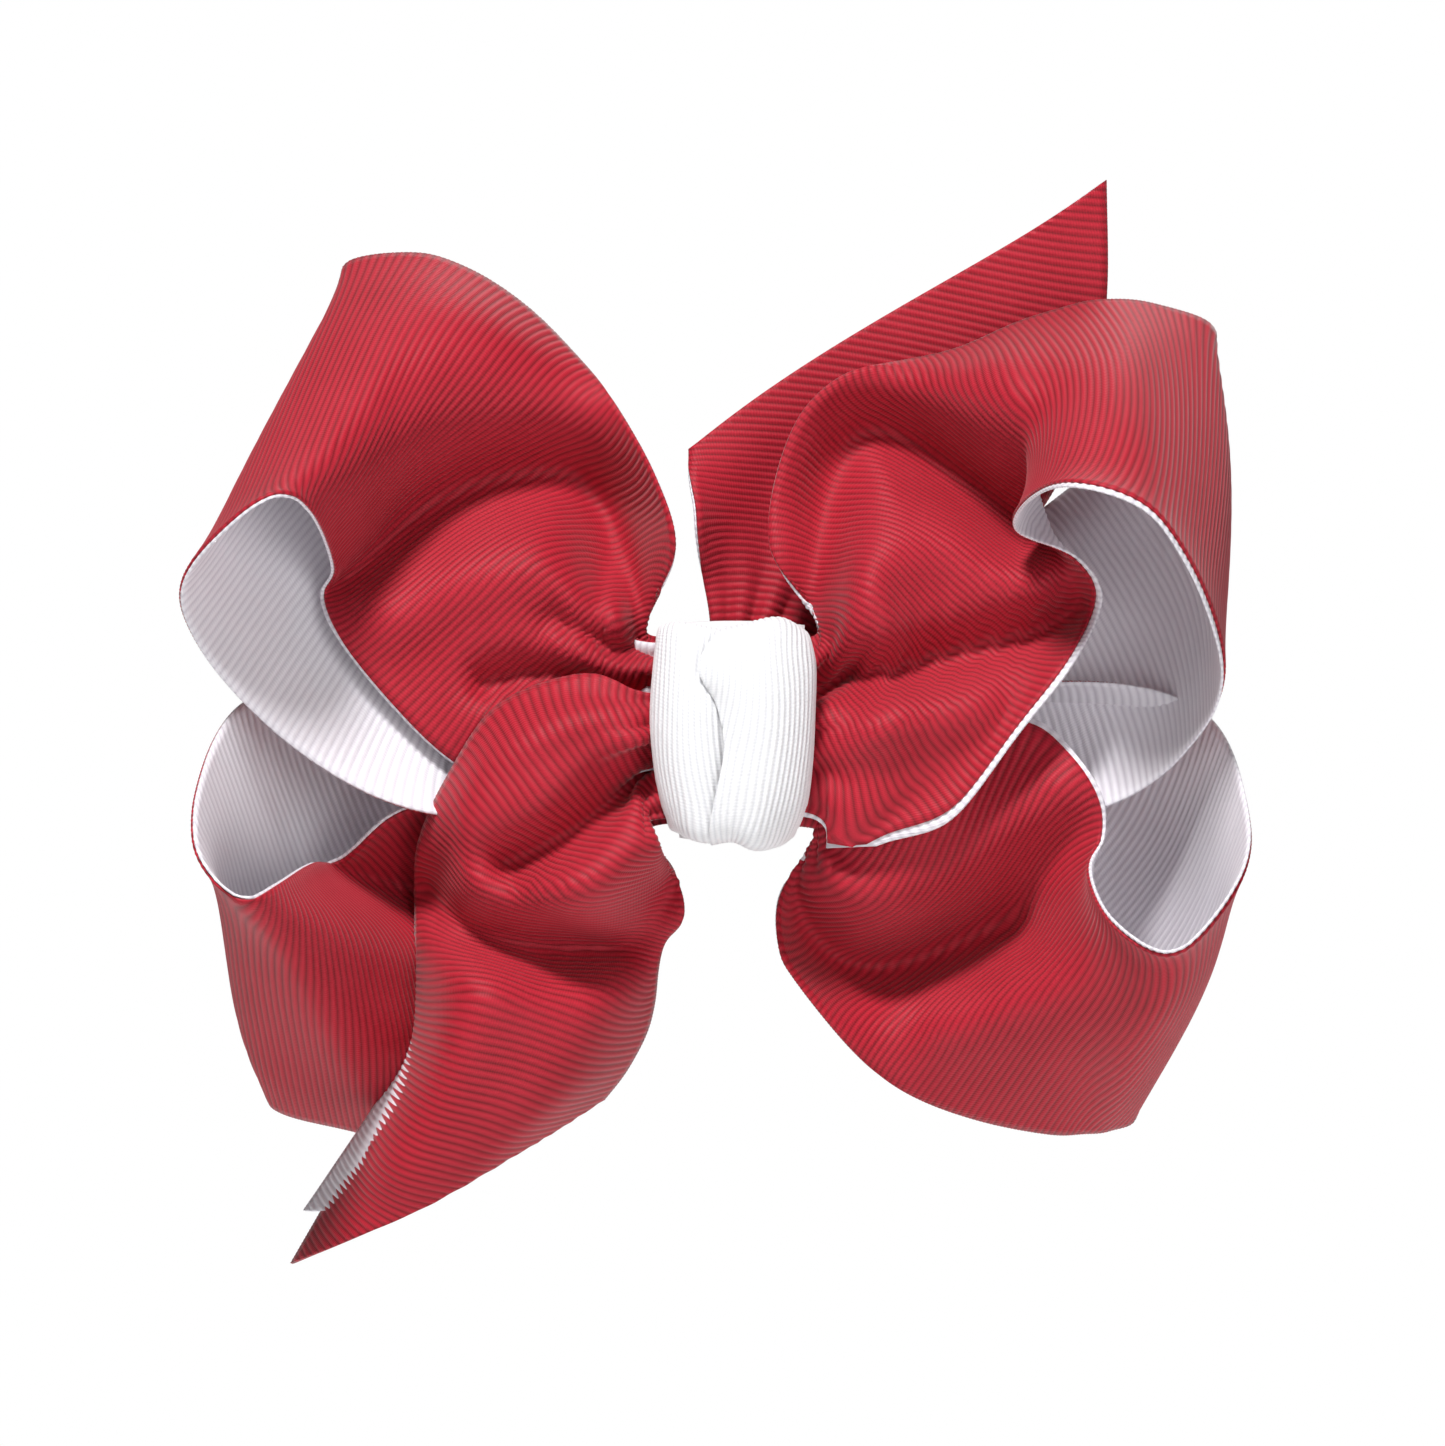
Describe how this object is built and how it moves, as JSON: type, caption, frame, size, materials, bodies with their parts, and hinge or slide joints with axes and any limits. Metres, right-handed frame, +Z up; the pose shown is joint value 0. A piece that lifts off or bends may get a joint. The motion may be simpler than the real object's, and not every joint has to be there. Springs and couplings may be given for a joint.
{
  "type": "cheer hair bow",
  "caption": "Layered ribbon hair bow with wide two-tone loops, angle-cut tails and a tied knot, on a sprung pinch clip that grips the hair.",
  "frame": {"origin": "on the flat outer face of the clip's lower jaw, which lies against the hair, straight behind the middle of the knot", "axes": "-Y is the way the bow faces, away from the head; +Z is up; +X is to the right as seen from the front; the clip lies along X"},
  "size_m": [0.1428, 0.0586, 0.1444],
  "materials": {
    "ribbon_red": "cardinal red grosgrain, low sheen on the ribs",
    "ribbon_white": "white grosgrain, soft",
    "knot_ribbon": "white grosgrain, narrow",
    "thread": "waxed white thread",
    "hot_glue": "milky set glue",
    "clip_steel": "nickel-plated stamped steel"
  },
  "bodies": {
    "bow": {"loop_upper_left_red": "ribbon_red", "loop_upper_left_white": "ribbon_white", "loop_lower_left_red": "ribbon_red", "loop_lower_left_white": "ribbon_white", "loop_upper_right_red": "ribbon_red", "loop_upper_right_white": "ribbon_white", "loop_lower_right_red": "ribbon_red", "loop_lower_right_white": "ribbon_white", "tail_front_red": "ribbon_red", "tail_front_white": "ribbon_white", "tail_back_red": "ribbon_red", "tail_back_white": "ribbon_white", "knot_band": "knot_ribbon", "knot_tie": "knot_ribbon", "gather_thread": "thread", "glue_pad": "hot_glue", "clip_lining": "knot_ribbon", "clip_upper_jaw": "clip_steel", "clip_pin": "clip_steel", "clip_spring": "clip_steel"},
    "clip_jaw": {"clip_lower_jaw": "clip_steel"}
  },
  "joints": [
    {"name": "clip_hinge", "type": "hinge", "parent": "bow", "child": "clip_jaw", "pos_m": [0.019, -0.005, 0], "axis": [0, 0, -1], "range_deg": [0, 35], "stiffness_Nm_per_rad": 0.06, "springref_deg": -68.75, "deforming": ["clip_spring"]}
  ]
}
